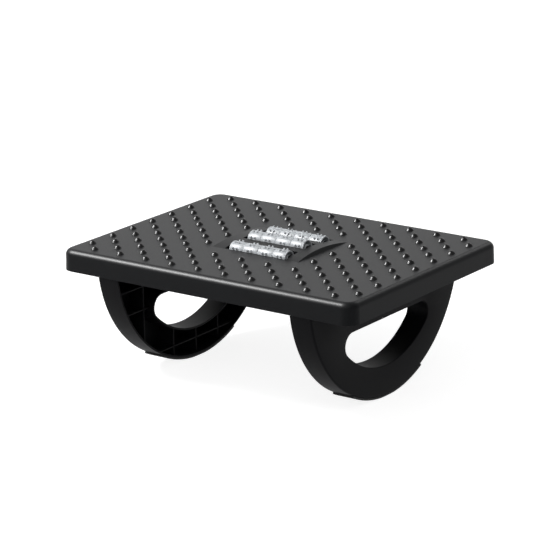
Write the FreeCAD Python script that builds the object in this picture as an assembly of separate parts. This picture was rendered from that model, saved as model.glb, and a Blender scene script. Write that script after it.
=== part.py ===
"""Rocking footrest for use under a desk.

A ribbed plastic deck with grip nubs stands on two hollow half-moon rockers. Each rocker rolls on
a rubber tread, and that rolling is what tilts the deck under the feet. Three massage rollers turn
on axles in a low hump at the middle of the deck. Every roller is four nubbed rings on a hexagonal
axle, and two straps screwed up from below hold the axles in their half-round seats.

Units are millimetres. +Z is up, +X is to the user's right and the front faces -Y. The origin is
on the floor, below the middle of the deck.
"""
import FreeCAD, Part
import math
import os

Vector = FreeCAD.Vector
X_AXIS = Vector(1, 0, 0)
Z_AXIS = Vector(0, 0, 1)

# Deck: the moulded tray that the feet rest on
deck_width = 437.0
deck_depth = 323.0
deck_height = 166.5
skirt_height = 27.0
deck_wall = 2.8
deck_corner_radius = 17.0
deck_edge_fillet = 8.0

# Ribs under the deck
rib_thickness = 2.2
rib_depth = 18.0
widest_rib_cell = 43.0

# Grip nubs on the deck, in a staggered pattern
nub_pitch = 20.0
nub_edge_margin = 15.0
nub_base_radius = 4.2
nub_shoulder_radius = 2.7
nub_shoulder_height = 2.5
nub_height = 4.0
nub_sides = 4

# Hump that carries the rollers
hump_half_length = 65.0
hump_half_depth = 53.0
hump_rise = 4.8
hump_end_run = 3.0

# Massage rollers
roller_spacing = 38.0
middle_axle_lift = 1.4
side_axle_drop = 3.0
ring_pitch = 22.4
rings_per_roller = 4
end_ring_trim = 2.8
ring_joint_gap = 0.4
ring_flat_radius = 10.4
ring_sides = 16
ring_rim_thickness = 1.5
ring_recess_depth = 8.0
ring_hub_radius = 5.0
roller_nub_rows = 8
roller_nub_height = 2.2
roller_nub_base = 2.4
roller_nub_ridge = 1.3
roller_nub_pair_gap = 5.3
front_roller_turn = 20.5
rear_roller_turn = 43.0

# Axles, their bearings and the straps that close them
axle_flats = 6.0
journal_radius = 2.0
journal_clearance = 0.05
axle_fit = 0.05
axle_end_play = 0.6
bearing_length = 6.8
bearing_half_width = 3.5
slot_end_gap = 4.5
slot_clearance = 0.5
strap_thickness = 3.5
strap_drop = 9.0
strap_end_margin = 8.0
strap_screw_radius = 1.25
strap_screw_length = 11.0
journal_tip_gap = 0.5
screw_tip_gap = 1.0
boss_wall = 2.2
well_side_gap = 2.5
well_end_gap = 8.0

# Rockers: hollow half-moon legs, open on their inner side
rocker_side_gap = 58.7
rocker_width = 30.8
rocker_wall = 2.5
rocker_end_inset = 1.2
rocker_band = 38.0
rocker_rail = 39.5
rocker_hole_corner = 15.5
rocker_edge_bevel = 2.0
rocker_rib_thickness = 2.0
rocker_rib_recess = 5.5
rocker_upright_ribs = (0.0, 46.0, 104.0)
rocker_level_ribs = (22.5, 52.6)
rocker_foot_rib = 21.0

# Screws that hold the rockers to the deck
rocker_screw_y = 60.0
rocker_screw_radius = 1.65
rocker_screw_length = 18.0
screw_fit = 0.05
screw_hole_clearance = 0.35
screw_head_ratio = 2.1
screw_head_height = 2.4
screw_head_clearance = 0.8
post_sides = 8

# Rubber treads
tread_thickness = 2.5
tread_half_angle = 27.0
tread_side_inset = 0.4
tread_flat_depth = 0.6

# How far a cutting shape runs past the face it opens
cut_through = 1.0

# Heights and radii that follow from the sizes above
seat_z = deck_height - skirt_height
plate_z = deck_height - deck_wall
seat_half_length = deck_depth / 2 - rocker_end_inset
rocker_foot_z = tread_thickness - tread_flat_depth
seat_rise = seat_z - rocker_foot_z
rocker_radius = (seat_half_length ** 2 + seat_rise ** 2) / (2 * seat_rise)
rocker_centre_z = rocker_radius + rocker_foot_z
rocker_outer_x = deck_width / 2 - rocker_side_gap
rocker_inner_x = rocker_outer_x - rocker_width
rocker_mid_x = rocker_outer_x - rocker_width / 2
hump_radius = (hump_half_depth ** 2 + hump_rise ** 2) / (2 * hump_rise)
hump_centre_z = deck_height + hump_rise - hump_radius
roller_half_length = rings_per_roller * ring_pitch / 2 - end_ring_trim
slot_half_length = roller_half_length + slot_end_gap
slot_half_width = ring_flat_radius + roller_nub_height + slot_clearance
bearing_start = roller_half_length + axle_end_play
bearing_end = bearing_start + bearing_length
bearing_radius = journal_radius + journal_clearance
strap_top_z = deck_height - strap_drop
strap_x = (bearing_start + bearing_end) / 2
strap_half_depth = roller_spacing + strap_end_margin
well_half_length = bearing_end + well_side_gap
well_half_depth = strap_half_depth + well_end_gap
axles = {
    "front": (-roller_spacing, deck_height - side_axle_drop, front_roller_turn),
    "middle": (0.0, deck_height + middle_axle_lift, front_roller_turn),
    "rear": (roller_spacing, deck_height - side_axle_drop, rear_roller_turn),
}
sides = {"left": -1, "right": 1}


def box(x0, x1, y0, y1, z0, z1):
    """A box between two corners, given in any order along X."""
    low_x = min(x0, x1)
    return Part.makeBox(abs(x1 - x0), y1 - y0, z1 - z0, Vector(low_x, y0, z0))


def rod(radius, x0, x1, y, z):
    """A round bar along X."""
    low_x = min(x0, x1)
    return Part.makeCylinder(radius, abs(x1 - x0), Vector(low_x, y, z), X_AXIS)


def polygon(points):
    """A closed wire through a few corner points."""
    return Part.makePolygon(list(points) + [points[0]])


def regular_corners(sides_count, flat_radius, turn, place):
    """The corners of a regular polygon, sized across its flats; place makes each a point."""
    corner_radius = flat_radius / math.cos(math.pi / sides_count)
    points = []
    for k in range(sides_count):
        angle = math.radians(turn) + math.pi * (2 * k + 1) / sides_count
        points.append(place(corner_radius * math.cos(angle), corner_radius * math.sin(angle)))
    return points


def prism_along_x(sides_count, flat_radius, turn, x0, x1, y, z):
    """A regular prism along X whose flats face the directions turn, turn + 360/sides and so on."""
    corners = regular_corners(sides_count, flat_radius, turn, lambda a, b: Vector(x0, y + a, z + b))
    return Part.Face(polygon(corners)).extrude(Vector(x1 - x0, 0, 0))


def post(radius, x, y, z0, z1):
    """An upright post or hole with a few flat sides, its corners on the given radius."""
    flat_radius = radius * math.cos(math.pi / post_sides)
    corners = regular_corners(post_sides, flat_radius, 0, lambda a, b: Vector(x + a, y + b, z0))
    return Part.Face(polygon(corners)).extrude(Vector(0, 0, z1 - z0))


def flat_sided(loops):
    """A solid with flat faces through a stack of corner loops; a one-point loop is a tip."""
    faces = []
    for low, high in zip(loops, loops[1:]):
        for k in range(len(low)):
            after = (k + 1) % len(low)
            if len(high) == 1:
                faces.append(Part.Face(polygon([low[k], low[after], high[0]])))
            else:
                faces.append(Part.Face(polygon([low[k], low[after], high[after], high[k]])))
    for cap in (loops[0], loops[-1]):
        if len(cap) > 1:
            faces.append(Part.Face(polygon(cap)))
    return Part.Solid(Part.Shell(faces))


def edges_at_height(shape, z):
    """The edges of a shape that lie wholly at one height."""
    return [e for e in shape.Edges if abs(e.BoundBox.ZMin - z) < 1e-4 and abs(e.BoundBox.ZMax - z) < 1e-4]


def tray(inset, z_top, z_bottom):
    """The block with round corners that bounds the deck, outside or inside."""
    half_x = deck_width / 2 - inset
    half_y = deck_depth / 2 - inset
    block = box(-half_x, half_x, -half_y, half_y, z_bottom, z_top)
    upright = [e for e in block.Edges if e.BoundBox.ZLength > 1.0]
    return block.makeFillet(deck_corner_radius - inset, upright)


def hump(inset):
    """The low arch over the rollers, or the hollow under it: a cylinder cut off by sloped ends."""
    base = hump_half_length - inset
    crest = base - hump_end_run
    foot_z = plate_z - cut_through
    slope = hump_end_run / hump_rise
    foot = base + slope * (deck_height - foot_z)
    top_z = deck_height + hump_rise
    profile = polygon([
        Vector(-foot, 0, foot_z), Vector(foot, 0, foot_z), Vector(crest, 0, top_z), Vector(-crest, 0, top_z)
    ])
    wedge = Part.Face(profile).extrude(Vector(0, 2 * hump_half_depth, 0))
    wedge.translate(Vector(0, -hump_half_depth, 0))
    return wedge.common(rod(hump_radius - inset, -foot, foot, 0, hump_centre_z))


def spread(start, end):
    """Rib positions between two walls, evenly spaced so that no cell is too wide."""
    cells = math.ceil((end - start) / (widest_rib_cell + rib_thickness))
    return [start + (end - start) * k / cells for k in range(1, cells)]


def deck_ribs():
    """The grid of ribs under the deck, the walls of the roller well and the rockers' seats."""
    low_z = plate_z - rib_depth
    side_x = deck_width / 2 - deck_wall
    end_y = deck_depth / 2 - deck_wall
    seat_lines = [rocker_inner_x + rib_thickness / 2, rocker_outer_x - rib_thickness / 2]
    ribs = []
    long_lines = [well_half_length]
    long_lines += spread(well_half_length, seat_lines[0])
    long_lines += spread(seat_lines[1], side_x)
    for x in long_lines:
        for s in sides.values():
            ribs.append((s * x - rib_thickness / 2, s * x + rib_thickness / 2, -end_y, end_y, low_z))
    for x in seat_lines:
        for s in sides.values():
            ribs.append((s * x - rib_thickness / 2, s * x + rib_thickness / 2, -end_y, end_y, seat_z))
    for x in spread(-well_half_length, well_half_length):
        for y0, y1 in ((-end_y, -well_half_depth), (well_half_depth, end_y)):
            ribs.append((x - rib_thickness / 2, x + rib_thickness / 2, y0, y1, low_z))
    for y in [well_half_depth] + spread(well_half_depth, end_y):
        for s in sides.values():
            ribs.append((-side_x, side_x, s * y - rib_thickness / 2, s * y + rib_thickness / 2, low_z))
    between = roller_spacing / 2
    for s in sides.values():
        y0 = s * between - rib_thickness / 2
        y1 = s * between + rib_thickness / 2
        ribs.append((-roller_half_length, roller_half_length, y0, y1, low_z))
        for t in sides.values():
            ribs.append((t * roller_half_length, t * well_half_length, y0, y1, strap_top_z))
            ribs.append((t * well_half_length, t * side_x, y0, y1, low_z))
    return [box(x0, x1, y0, y1, z0, deck_height + hump_rise) for x0, x1, y0, y1, z0 in ribs]


def bearing_blocks():
    """The lugs at the slot ends, whose lower faces hold the upper half of each bearing."""
    top = deck_height + hump_rise
    blocks = []
    for y, z, turn in axles.values():
        for s in sides.values():
            blocks.append(box(s * bearing_start, s * bearing_end, y - bearing_half_width,
                              y + bearing_half_width, z, top))
    return blocks


def strap_screw_places():
    """Where the strap screws stand: between the axles, in the middle of each strap."""
    return [(s * strap_x, t * roller_spacing / 2) for s in sides.values() for t in sides.values()]


def rocker_screw_places():
    """Where the rocker screws stand, in the middle of each rocker's width."""
    return [(s * rocker_mid_x, t * rocker_screw_y) for s in sides.values() for t in sides.values()]


def deck_nub():
    """One grip nub over the origin: a low faceted dome in two steps that end in a soft point."""
    def loop(radius, height):
        return regular_corners(nub_sides, radius, 0, lambda a, b: Vector(a, b, deck_height + height))

    tip = Vector(0, 0, deck_height + nub_height)
    return flat_sided([loop(nub_base_radius, 0.0), loop(nub_shoulder_radius, nub_shoulder_height), [tip]])


def deck_nub_places():
    """The staggered lattice, as far as the deck reaches, without the patch that the hump takes."""
    columns = int((deck_width / 2 - nub_edge_margin) / nub_pitch)
    rows = int((deck_depth / 2 - nub_edge_margin) / nub_pitch)
    places = []
    for i in range(-columns, columns + 1):
        for j in range(-rows, rows + 1):
            on_hump = abs(i * nub_pitch) < hump_half_length and abs(j * nub_pitch) < hump_half_length
            if (i + j) % 2 == 1 and not on_hump:
                places.append((i * nub_pitch, j * nub_pitch))
    return places


def platform():
    """The deck moulding: skirted tray, hump with slots, ribs, screw bosses and bearing lugs."""
    top = deck_height + hump_rise
    block = tray(0, deck_height, seat_z)
    block = block.makeFillet(deck_edge_fillet, edges_at_height(block, deck_height))
    outside = block.fuse(hump(0)).removeSplitter()
    slots = []
    for y, z, turn in axles.values():
        slots.append(box(-slot_half_length, slot_half_length, y - slot_half_width, y + slot_half_width,
                         seat_z, top + cut_through))
    hollow = tray(deck_wall, plate_z, seat_z - cut_through).fuse([hump(deck_wall)] + slots)
    posts = []
    holes = []
    for x, y in strap_screw_places():
        pilot = strap_screw_radius + screw_fit
        posts.append(post(pilot + boss_wall, x, y, strap_top_z, top))
        tip_z = strap_top_z - strap_thickness + strap_screw_length
        holes.append(post(pilot, x, y, strap_top_z - cut_through, tip_z + screw_tip_gap))
    for x, y in rocker_screw_places():
        pilot = rocker_screw_radius + screw_fit
        posts.append(post(pilot + boss_wall, x, y, seat_z, deck_height))
        tip_z = seat_z - rocker_wall + rocker_screw_length
        holes.append(post(pilot, x, y, seat_z - cut_through, tip_z + screw_tip_gap))
    for y, z, turn in axles.values():
        reach = bearing_end + journal_tip_gap
        holes.append(rod(bearing_radius, -reach, reach, y, z))
    hollow = hollow.cut(deck_ribs() + posts + bearing_blocks())
    body = outside.cut([hollow] + holes).removeSplitter()
    nub = deck_nub()
    return body.fuse([nub.translated(Vector(x, y, 0)) for x, y in deck_nub_places()])


def half_moon(radius, z_top, x0, x1):
    """A disc segment along X, concentric with the rockers and cut flat at the top."""
    reach = radius + cut_through
    disc = rod(radius, x0, x1, 0, rocker_centre_z)
    return disc.common(box(x0, x1, -reach, reach, rocker_centre_z - reach, z_top))


def rocker_hole(grow, x0, x1):
    """The D-shaped hole through a rocker, made larger by a wall where grow is given."""
    top = seat_z - rocker_rail + grow
    block = half_moon(rocker_radius - rocker_band + grow, top, x0, x1)
    corners = [e for e in block.Edges if abs(e.BoundBox.ZMin - top) < 1e-4 and e.BoundBox.YLength < 1e-4]
    return block.makeFillet(rocker_hole_corner + grow, corners)


def rocker_ribs(x0, x1):
    """The ribs inside a rocker: uprights, two level ribs and the long one above the tread."""
    reach = rocker_radius
    half = rocker_rib_thickness / 2
    low_z = rocker_centre_z - reach
    ribs = []
    for y in rocker_upright_ribs:
        for place in {y, -y}:
            ribs.append(box(x0, x1, place - half, place + half, low_z, seat_z))
    levels = [seat_z - drop for drop in rocker_level_ribs] + [low_z + rocker_foot_rib]
    for z in levels:
        ribs.append(box(x0, x1, -reach, reach, z - half, z + half))
    return ribs


def rocker(side):
    """One rocker shell: closed outer face, rim, walled D hole, ribs, flange and screw tubes."""
    outer = side * rocker_outer_x
    inner = side * rocker_inner_x
    floor = side * (rocker_outer_x - rocker_wall)
    rib_edge = side * (rocker_inner_x + rocker_rib_recess)
    body = half_moon(rocker_radius, seat_z, inner, outer)
    curved = []
    for edge in body.Edges:
        bounds = edge.BoundBox
        on_outer_face = abs(bounds.XMin - outer) < 1e-4 and abs(bounds.XMax - outer) < 1e-4
        if on_outer_face and bounds.ZLength > 1.0:
            curved.append(edge)
    body = body.makeChamfer(rocker_edge_bevel, curved)
    past_inner = inner - side * cut_through
    past_outer = outer + side * cut_through
    hollow = half_moon(rocker_radius - rocker_wall, seat_z - rocker_wall, past_inner, floor)
    keep = [rocker_hole(rocker_wall, past_inner, outer)] + rocker_ribs(rib_edge, outer)
    tube_bore = rocker_screw_radius * screw_head_ratio + screw_head_clearance
    tube_foot = seat_z - rocker_rail
    screw_hole = rocker_screw_radius + screw_hole_clearance
    cuts = [rocker_hole(0, past_inner, past_outer)]
    for x, y in rocker_screw_places():
        if x * side > 0:
            keep.append(post(tube_bore + rocker_wall, x, y, tube_foot, seat_z))
            cuts.append(post(tube_bore, x, y, tube_foot - cut_through, seat_z - rocker_wall))
            cuts.append(post(screw_hole, x, y, tube_foot, seat_z + cut_through))
    return body.cut(hollow.cut(keep)).cut(Part.makeCompound(cuts)).removeSplitter()


def tread(side):
    """The rubber strip round the lowest part of one rocker, with a small flat to stand level on."""
    inner = side * (rocker_inner_x + tread_side_inset)
    outer = side * (rocker_outer_x - tread_side_inset)
    centre = Vector(min(inner, outer), 0, rocker_centre_z)
    turn = 180 - tread_half_angle
    sector = Part.makeCylinder(rocker_radius + tread_thickness, abs(outer - inner), centre, X_AXIS,
                               2 * tread_half_angle)
    sector.rotate(centre, X_AXIS, turn)
    reach = rocker_radius + tread_thickness
    below_floor = box(inner, outer, -reach, reach, -tread_thickness, 0)
    return sector.cut([rod(rocker_radius, inner, outer, 0, rocker_centre_z), below_floor])


def ring_nub(x, angle, y, z):
    """One small nub on a ring, tapered to a ridge, standing on the flat that faces the angle."""
    out = Vector(0, math.cos(angle), math.sin(angle))
    across = Vector(0, -math.sin(angle), math.cos(angle))
    root = Vector(x, y, z) + out * ring_flat_radius
    half = roller_nub_base / 2
    base = []
    for a, b in ((1, 1), (-1, 1), (-1, -1), (1, -1)):
        base.append(root + X_AXIS * (a * half) + across * (b * half))
    ridge = [root + out * roller_nub_height + across * (b * roller_nub_ridge / 2) for b in (1, -1)]
    faces = [
        base, [base[0], base[1], ridge[0]], [base[2], base[3], ridge[1]],
        [base[1], base[2], ridge[1], ridge[0]], [base[3], base[0], ridge[0], ridge[1]]
    ]
    return Part.Solid(Part.Shell([Part.Face(polygon(face)) for face in faces]))


def ring(axle, index):
    """One nubbed massage ring with a hexagonal bore; the outermost two have a hollow end."""
    y, z, turn = axles[axle]
    pitch_start = (index - rings_per_roller / 2) * ring_pitch
    x0 = pitch_start + ring_joint_gap / 2
    x1 = pitch_start + ring_pitch - ring_joint_gap / 2
    first = index == 0
    last = index == rings_per_roller - 1
    if first:
        x0 = -roller_half_length
    if last:
        x1 = roller_half_length
    body = prism_along_x(ring_sides, ring_flat_radius, turn, x0, x1, y, z)
    if first or last:
        mouth = x0 if first else x1
        inside = mouth + ring_recess_depth if first else mouth - ring_recess_depth
        rim_inner = ring_flat_radius - ring_rim_thickness
        recess = prism_along_x(ring_sides, rim_inner, turn, mouth, inside, y, z)
        hub = prism_along_x(ring_sides // 2, ring_hub_radius, turn, mouth, inside, y, z)
        body = body.cut(recess.cut(hub))
    bore = axle_flats / 2 + axle_fit
    body = body.cut(prism_along_x(6, bore, turn, x0 - cut_through, x1 + cut_through, y, z))
    nubs = []
    for row in range(roller_nub_rows):
        angle = math.radians(turn + 90.0 + 360.0 * row / roller_nub_rows)
        for s in sides.values():
            x = pitch_start + ring_pitch / 2 + s * roller_nub_pair_gap / 2
            nubs.append(ring_nub(x, angle, y, z))
    return body.fuse(nubs).removeSplitter()


def axle(name):
    """One steel axle: hexagonal where the rings sit, with a round journal at each end."""
    y, z, turn = axles[name]
    bar = prism_along_x(6, axle_flats / 2, turn, -roller_half_length, roller_half_length, y, z)
    return bar.fuse(rod(journal_radius, -bearing_end, bearing_end, y, z)).removeSplitter()


def strap(side):
    """The strap that closes one side's bearings from below, with a saddle under each axle."""
    x0 = side * bearing_start
    x1 = side * bearing_end
    bottom = strap_top_z - strap_thickness
    bar = box(x0, x1, -strap_half_depth, strap_half_depth, bottom, strap_top_z)
    saddles = [box(x0, x1, y - bearing_half_width, y + bearing_half_width, bottom, z)
               for y, z, turn in axles.values()]
    bar = bar.fuse(saddles)
    cuts = [rod(bearing_radius, x0 - side * cut_through, x1 + side * cut_through, y, z)
            for y, z, turn in axles.values()]
    hole = strap_screw_radius + screw_hole_clearance
    for x, y in strap_screw_places():
        if x * side > 0:
            cuts.append(post(hole, x, y, bottom - cut_through, strap_top_z + cut_through))
    return bar.cut(Part.makeCompound(cuts)).removeSplitter()


def screws(places, radius, length, head_z):
    """A set of screws driven upwards, each with its head below head_z."""
    made = []
    for x, y in places:
        head = post(radius * screw_head_ratio, x, y, head_z - screw_head_height, head_z)
        shank = post(radius, x, y, head_z, head_z + length)
        made.append(head.fuse(shank).removeSplitter())
    return Part.makeCompound(made)


def parts():
    """Every node of the footrest, by name."""
    made = {"platform": platform()}
    for name, side in sides.items():
        made["rocker_" + name] = rocker(side)
        made["tread_" + name] = tread(side)
        made["axle_strap_" + name] = strap(side)
    for name in axles:
        made["axle_" + name] = axle(name)
        for index in range(rings_per_roller):
            made[f"roller_ring_{name}_{index + 1}"] = ring(name, index)
    made["rocker_screws"] = screws(rocker_screw_places(), rocker_screw_radius, rocker_screw_length,
                                   seat_z - rocker_wall)
    made["strap_screws"] = screws(strap_screw_places(), strap_screw_radius, strap_screw_length,
                                  strap_top_z - strap_thickness)
    return made


if __name__ == "__main__":
    os.makedirs("parts", exist_ok=True)
    for name, shape in parts().items():
        print(name, shape.isValid(), len(shape.Solids), round(shape.Volume))
        shape.exportStep(f"parts/{name}.step")
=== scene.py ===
# %% [markdown]
# # A rocking footrest for under a desk
# The object is a moulded plastic tray on two half-moon legs, with three nubbed rollers let into its
# top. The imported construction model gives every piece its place, and this script gives every piece its
# finish. Lengths are written in millimetres, as on a drawing, and turned to metres where a mesh is
# made.

# %% Load the construction model
import bmesh
import bpy
import math
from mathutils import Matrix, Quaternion, Vector


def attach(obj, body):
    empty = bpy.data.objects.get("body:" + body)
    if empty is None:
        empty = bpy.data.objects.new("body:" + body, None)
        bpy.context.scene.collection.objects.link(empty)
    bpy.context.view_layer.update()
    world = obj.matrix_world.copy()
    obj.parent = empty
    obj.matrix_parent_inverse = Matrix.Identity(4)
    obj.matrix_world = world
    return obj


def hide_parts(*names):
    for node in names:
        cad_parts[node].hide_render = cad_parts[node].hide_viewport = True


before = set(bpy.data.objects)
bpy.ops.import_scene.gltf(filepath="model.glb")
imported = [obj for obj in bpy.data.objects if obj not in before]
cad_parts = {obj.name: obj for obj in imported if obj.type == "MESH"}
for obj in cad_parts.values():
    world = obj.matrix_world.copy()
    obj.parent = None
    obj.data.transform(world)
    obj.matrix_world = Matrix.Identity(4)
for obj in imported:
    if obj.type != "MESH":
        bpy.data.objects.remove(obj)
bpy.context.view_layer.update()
MM = 0.001
sides = {"left": -1, "right": 1}
square = ((1, 1), (-1, 1), (-1, -1), (1, -1))

# %% [markdown]
# ## Camera
# The lens is long, so the deck's edges stay nearly parallel. A place, two angles and a slight roll say
# where the camera stands, which is easier to read and to change than a matrix.

# %% Camera
camera_place = Vector((1956.4, -2683.5, 1120.7)) * MM
camera_azimuth = math.radians(36.10)
camera_elevation = math.radians(16.76)
camera_roll = math.radians(-1.01)
focal_px = 2797.5
frame_px = 560

camera = bpy.data.objects.new("camera", bpy.data.cameras.new("camera"))
bpy.context.collection.objects.link(camera)
bpy.context.scene.camera = camera
back = Vector((
    math.sin(camera_azimuth) * math.cos(camera_elevation),
    -math.cos(camera_azimuth) * math.cos(camera_elevation),
    math.sin(camera_elevation)
))
camera.rotation_mode = "QUATERNION"
camera.rotation_quaternion = (-back).to_track_quat("-Z", "Y") @ Quaternion((0, 0, 1), camera_roll)
camera.location = camera_place
camera.data.sensor_width = 36.0
camera.data.lens = focal_px / frame_px * camera.data.sensor_width
camera.data.clip_end = 100.0
print("lens", round(camera.data.lens, 1), "mm")

# %% [markdown]
# ## One function for nodes
# Materials and Geometry Nodes are both trees of nodes. One small function adds a node, sets it and
# links it, so the cells below read as a list of what each tree does.

# %% Node and colour helpers
def add_node(tree, kind, inputs=(), **settings):
    """Adds a node. inputs maps a socket's name or number to a value or to the socket that feeds it."""
    node = tree.nodes.new(kind)
    for name, value in settings.items():
        setattr(node, name, value)
    for key, value in dict(inputs).items():
        if isinstance(value, bpy.types.NodeSocket):
            tree.links.new(value, node.inputs[key])
        else:
            node.inputs[key].default_value = value
    return node


def srgb(hex_code):
    """A colour written as on a screen, turned to the linear values that light adds up in."""
    channels = [int(hex_code[k:k + 2], 16) / 255 for k in (1, 3, 5)]
    linear = [c / 12.92 if c <= 0.04045 else ((c + 0.055) / 1.055) ** 2.4 for c in channels]
    return (*linear, 1.0)


def new_material(name):
    """An empty material and its tree."""
    material = bpy.data.materials.new(name)
    material.use_nodes = True
    material.node_tree.nodes.clear()
    return material, material.node_tree


# %% [markdown]
# ## Studio
# A white sweep: the floor is pale and so is the world behind it. For what the camera and shiny surfaces
# see, both show plain white. For the light that falls on the object they are dimmer, so that black
# stays black. Lamps strong enough to whiten a grey floor would bleach the object too.

# %% Floor and world
floor_reach = 30.0
floor_grey = (0.5, 0.5, 0.5, 1.0)
floor_glow = 0.86
world_light = 0.42


def seen_directly(tree):
    """1 for rays from the camera, off gloss or through glass, which are to find a white studio."""
    path = add_node(tree, "ShaderNodeLightPath").outputs
    first = add_node(tree, "ShaderNodeMath", {0: path["Is Camera Ray"], 1: path["Is Glossy Ray"]},
                     operation="MAXIMUM")
    both = add_node(tree, "ShaderNodeMath", {0: first.outputs[0], 1: path["Is Transmission Ray"]},
                    operation="MAXIMUM")
    return both.outputs[0]


floor_paint, tree = new_material("white_studio_floor")
glow = add_node(tree, "ShaderNodeMath", {0: seen_directly(tree), 1: floor_glow}, operation="MULTIPLY")
emission = add_node(tree, "ShaderNodeEmission", {"Strength": glow.outputs[0]})
matt = add_node(tree, "ShaderNodeBsdfDiffuse", {"Color": floor_grey})
lit = add_node(tree, "ShaderNodeAddShader", {0: emission.outputs[0], 1: matt.outputs[0]})
add_node(tree, "ShaderNodeOutputMaterial", {"Surface": lit.outputs[0]})

floor_mesh = bpy.data.meshes.new("floor")
corners = [(a * floor_reach, b * floor_reach, 0.0) for a, b in ((-1, -1), (1, -1), (1, 1), (-1, 1))]
floor_mesh.from_pydata(corners, [], [(0, 1, 2, 3)])
floor_mesh.materials.append(floor_paint)
floor = bpy.data.objects.new("floor", floor_mesh)
bpy.context.collection.objects.link(floor)

world = bpy.data.worlds.new("studio")
bpy.context.scene.world = world
world.use_nodes = True
world.node_tree.nodes.clear()
tree = world.node_tree
level = add_node(tree, "ShaderNodeMapRange", {"Value": seen_directly(tree), "To Min": world_light,
                                              "To Max": 1.0})
sky = add_node(tree, "ShaderNodeBackground", {"Strength": level.outputs[0]})
add_node(tree, "ShaderNodeOutputWorld", {"Surface": sky.outputs[0]})
bpy.context.scene.view_settings.view_transform = "Standard"

# %% [markdown]
# Two soft boxes light the object, one from the left and one from behind the camera. Three more are seen
# by gloss only: one draws the bright line along the deck's front edge, and two at the back grey its top
# and its right edge. Each has a place, a width, a power in watts, and whether it lights matt surfaces
# too.

# %% Soft boxes
soft_boxes = {
    "key": ((-1260, -850, 1670), 600, 30.0, True),
    "fill": ((900, -2300, 1900), 1500, 12.0, True),
    "edge_gloss": ((-1260, -850, 1670), 600, 320.0, False),
    "back_gloss": ((-1350, 1600, 1150), 1400, 5.0, False),
    "right_gloss": ((150, 1700, 1350), 800, 9.0, False),
}
for name, (place, width, watts, lights_matt) in soft_boxes.items():
    lamp = bpy.data.lights.new(name, "AREA")
    lamp.size = width * MM
    lamp.energy = watts
    holder = bpy.data.objects.new(name, lamp)
    bpy.context.collection.objects.link(holder)
    holder.location = Vector(place) * MM
    holder.rotation_mode = "QUATERNION"
    holder.rotation_quaternion = (-holder.location).to_track_quat("-Z", "Y")
    holder.visible_diffuse = lights_matt
print("soft boxes:", ", ".join(soft_boxes))

# %% [markdown]
# ## Moulded plastic
# The deck and the legs are black ABS from a steel mould. The straps, rollers and treads are nylon,
# polypropylene and rubber, and one function serves them all. A spark-eroded mould leaves a fine even
# grain, so the plastic is dull and slightly mottled, and only the polished nubs shine. ABS has an IOR
# of about 1.53, and the others lie close to it. A grained face shades itself and gives back less light
# than a smooth one, so its specular level is low. The grain is about 0.4 mm, too fine for the picture,
# so it is drawn about three times as coarse.

# %% Moulded plastic finishes
ABS_IOR = 1.53
cloud_mm = 60.0
grain_share, cloud_share = 0.6, 0.4
gloss_spread = 0.05


def moulded_plastic(name, dark, light, roughness, grain_mm, grain_height_mm, specular=0.5):
    """Dull plastic: two close shades in a fine grain, rougher and smoother by turns, with a real bump."""
    material, tree = new_material(name)
    place = add_node(tree, "ShaderNodeTexCoord").outputs["Object"]
    grain = add_node(tree, "ShaderNodeTexNoise", {
        "Vector": place, "Scale": 1 / (grain_mm * MM), "Detail": 3.0, "Roughness": 0.6
    })
    cloud = add_node(tree, "ShaderNodeTexNoise", {
        "Vector": place, "Scale": 1 / (cloud_mm * MM), "Detail": 2.0
    })
    blend = add_node(tree, "ShaderNodeMath", {0: grain.outputs["Fac"], 1: grain_share},
                     operation="MULTIPLY")
    shade = add_node(tree, "ShaderNodeMath", {0: cloud.outputs["Fac"], 1: cloud_share, 2: blend.outputs[0]},
                     operation="MULTIPLY_ADD")
    colour = add_node(tree, "ShaderNodeMix", {"Factor": shade.outputs[0], 6: srgb(dark), 7: srgb(light)},
                      data_type="RGBA")
    gloss = add_node(tree, "ShaderNodeMapRange", {
        "Value": grain.outputs["Fac"], "To Min": roughness - gloss_spread,
        "To Max": roughness + gloss_spread
    })
    bump = add_node(tree, "ShaderNodeBump", {"Height": grain.outputs["Fac"], "Strength": 0.5,
                                             "Distance": grain_height_mm * MM})
    shader = add_node(tree, "ShaderNodeBsdfPrincipled", {
        "Base Color": colour.outputs[2], "Roughness": gloss.outputs[0], "Normal": bump.outputs[0],
        "IOR": ABS_IOR, "Specular IOR Level": specular
    })
    add_node(tree, "ShaderNodeOutputMaterial", {"Surface": shader.outputs[0]})
    return material


deck_plastic = moulded_plastic("grained_abs_deck", "#0c0d0f", "#131416", 0.42, 1.2, 0.12, 0.07)
nub_plastic = moulded_plastic("polished_abs_nub", "#0c0c0d", "#121213", 0.32, 1.5, 0.02, 0.12)
leg_plastic = moulded_plastic("grained_abs_leg", "#0b0b0d", "#111113", 0.5, 1.2, 0.12, 0.04)
strap_plastic = moulded_plastic("moulded_nylon_strap", "#1b1b1c", "#232324", 0.55, 1.6, 0.05)
roller_plastic = moulded_plastic(
    "moulded_polypropylene_roller", "#b4b8bc", "#c6cacd", 0.42, 2.0, 0.03, 0.12
)
tread_rubber = moulded_plastic("extruded_rubber_tread", "#101010", "#191919", 0.72, 1.0, 0.15, 0.3)
print("plastics:", ", ".join(m.name for m in (
    deck_plastic, nub_plastic, leg_plastic, strap_plastic, roller_plastic, tread_rubber
)))

# %% [markdown]
# ## Steel
# The axles are drawn bar and the screws are zinc plated. Both are metal, so the colour is in the
# reflection. A noise that is stretched along the bar gives the die lines of drawn steel; the plating is
# an even, cool grey.

# %% Steel finishes
line_spread = 0.08


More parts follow.
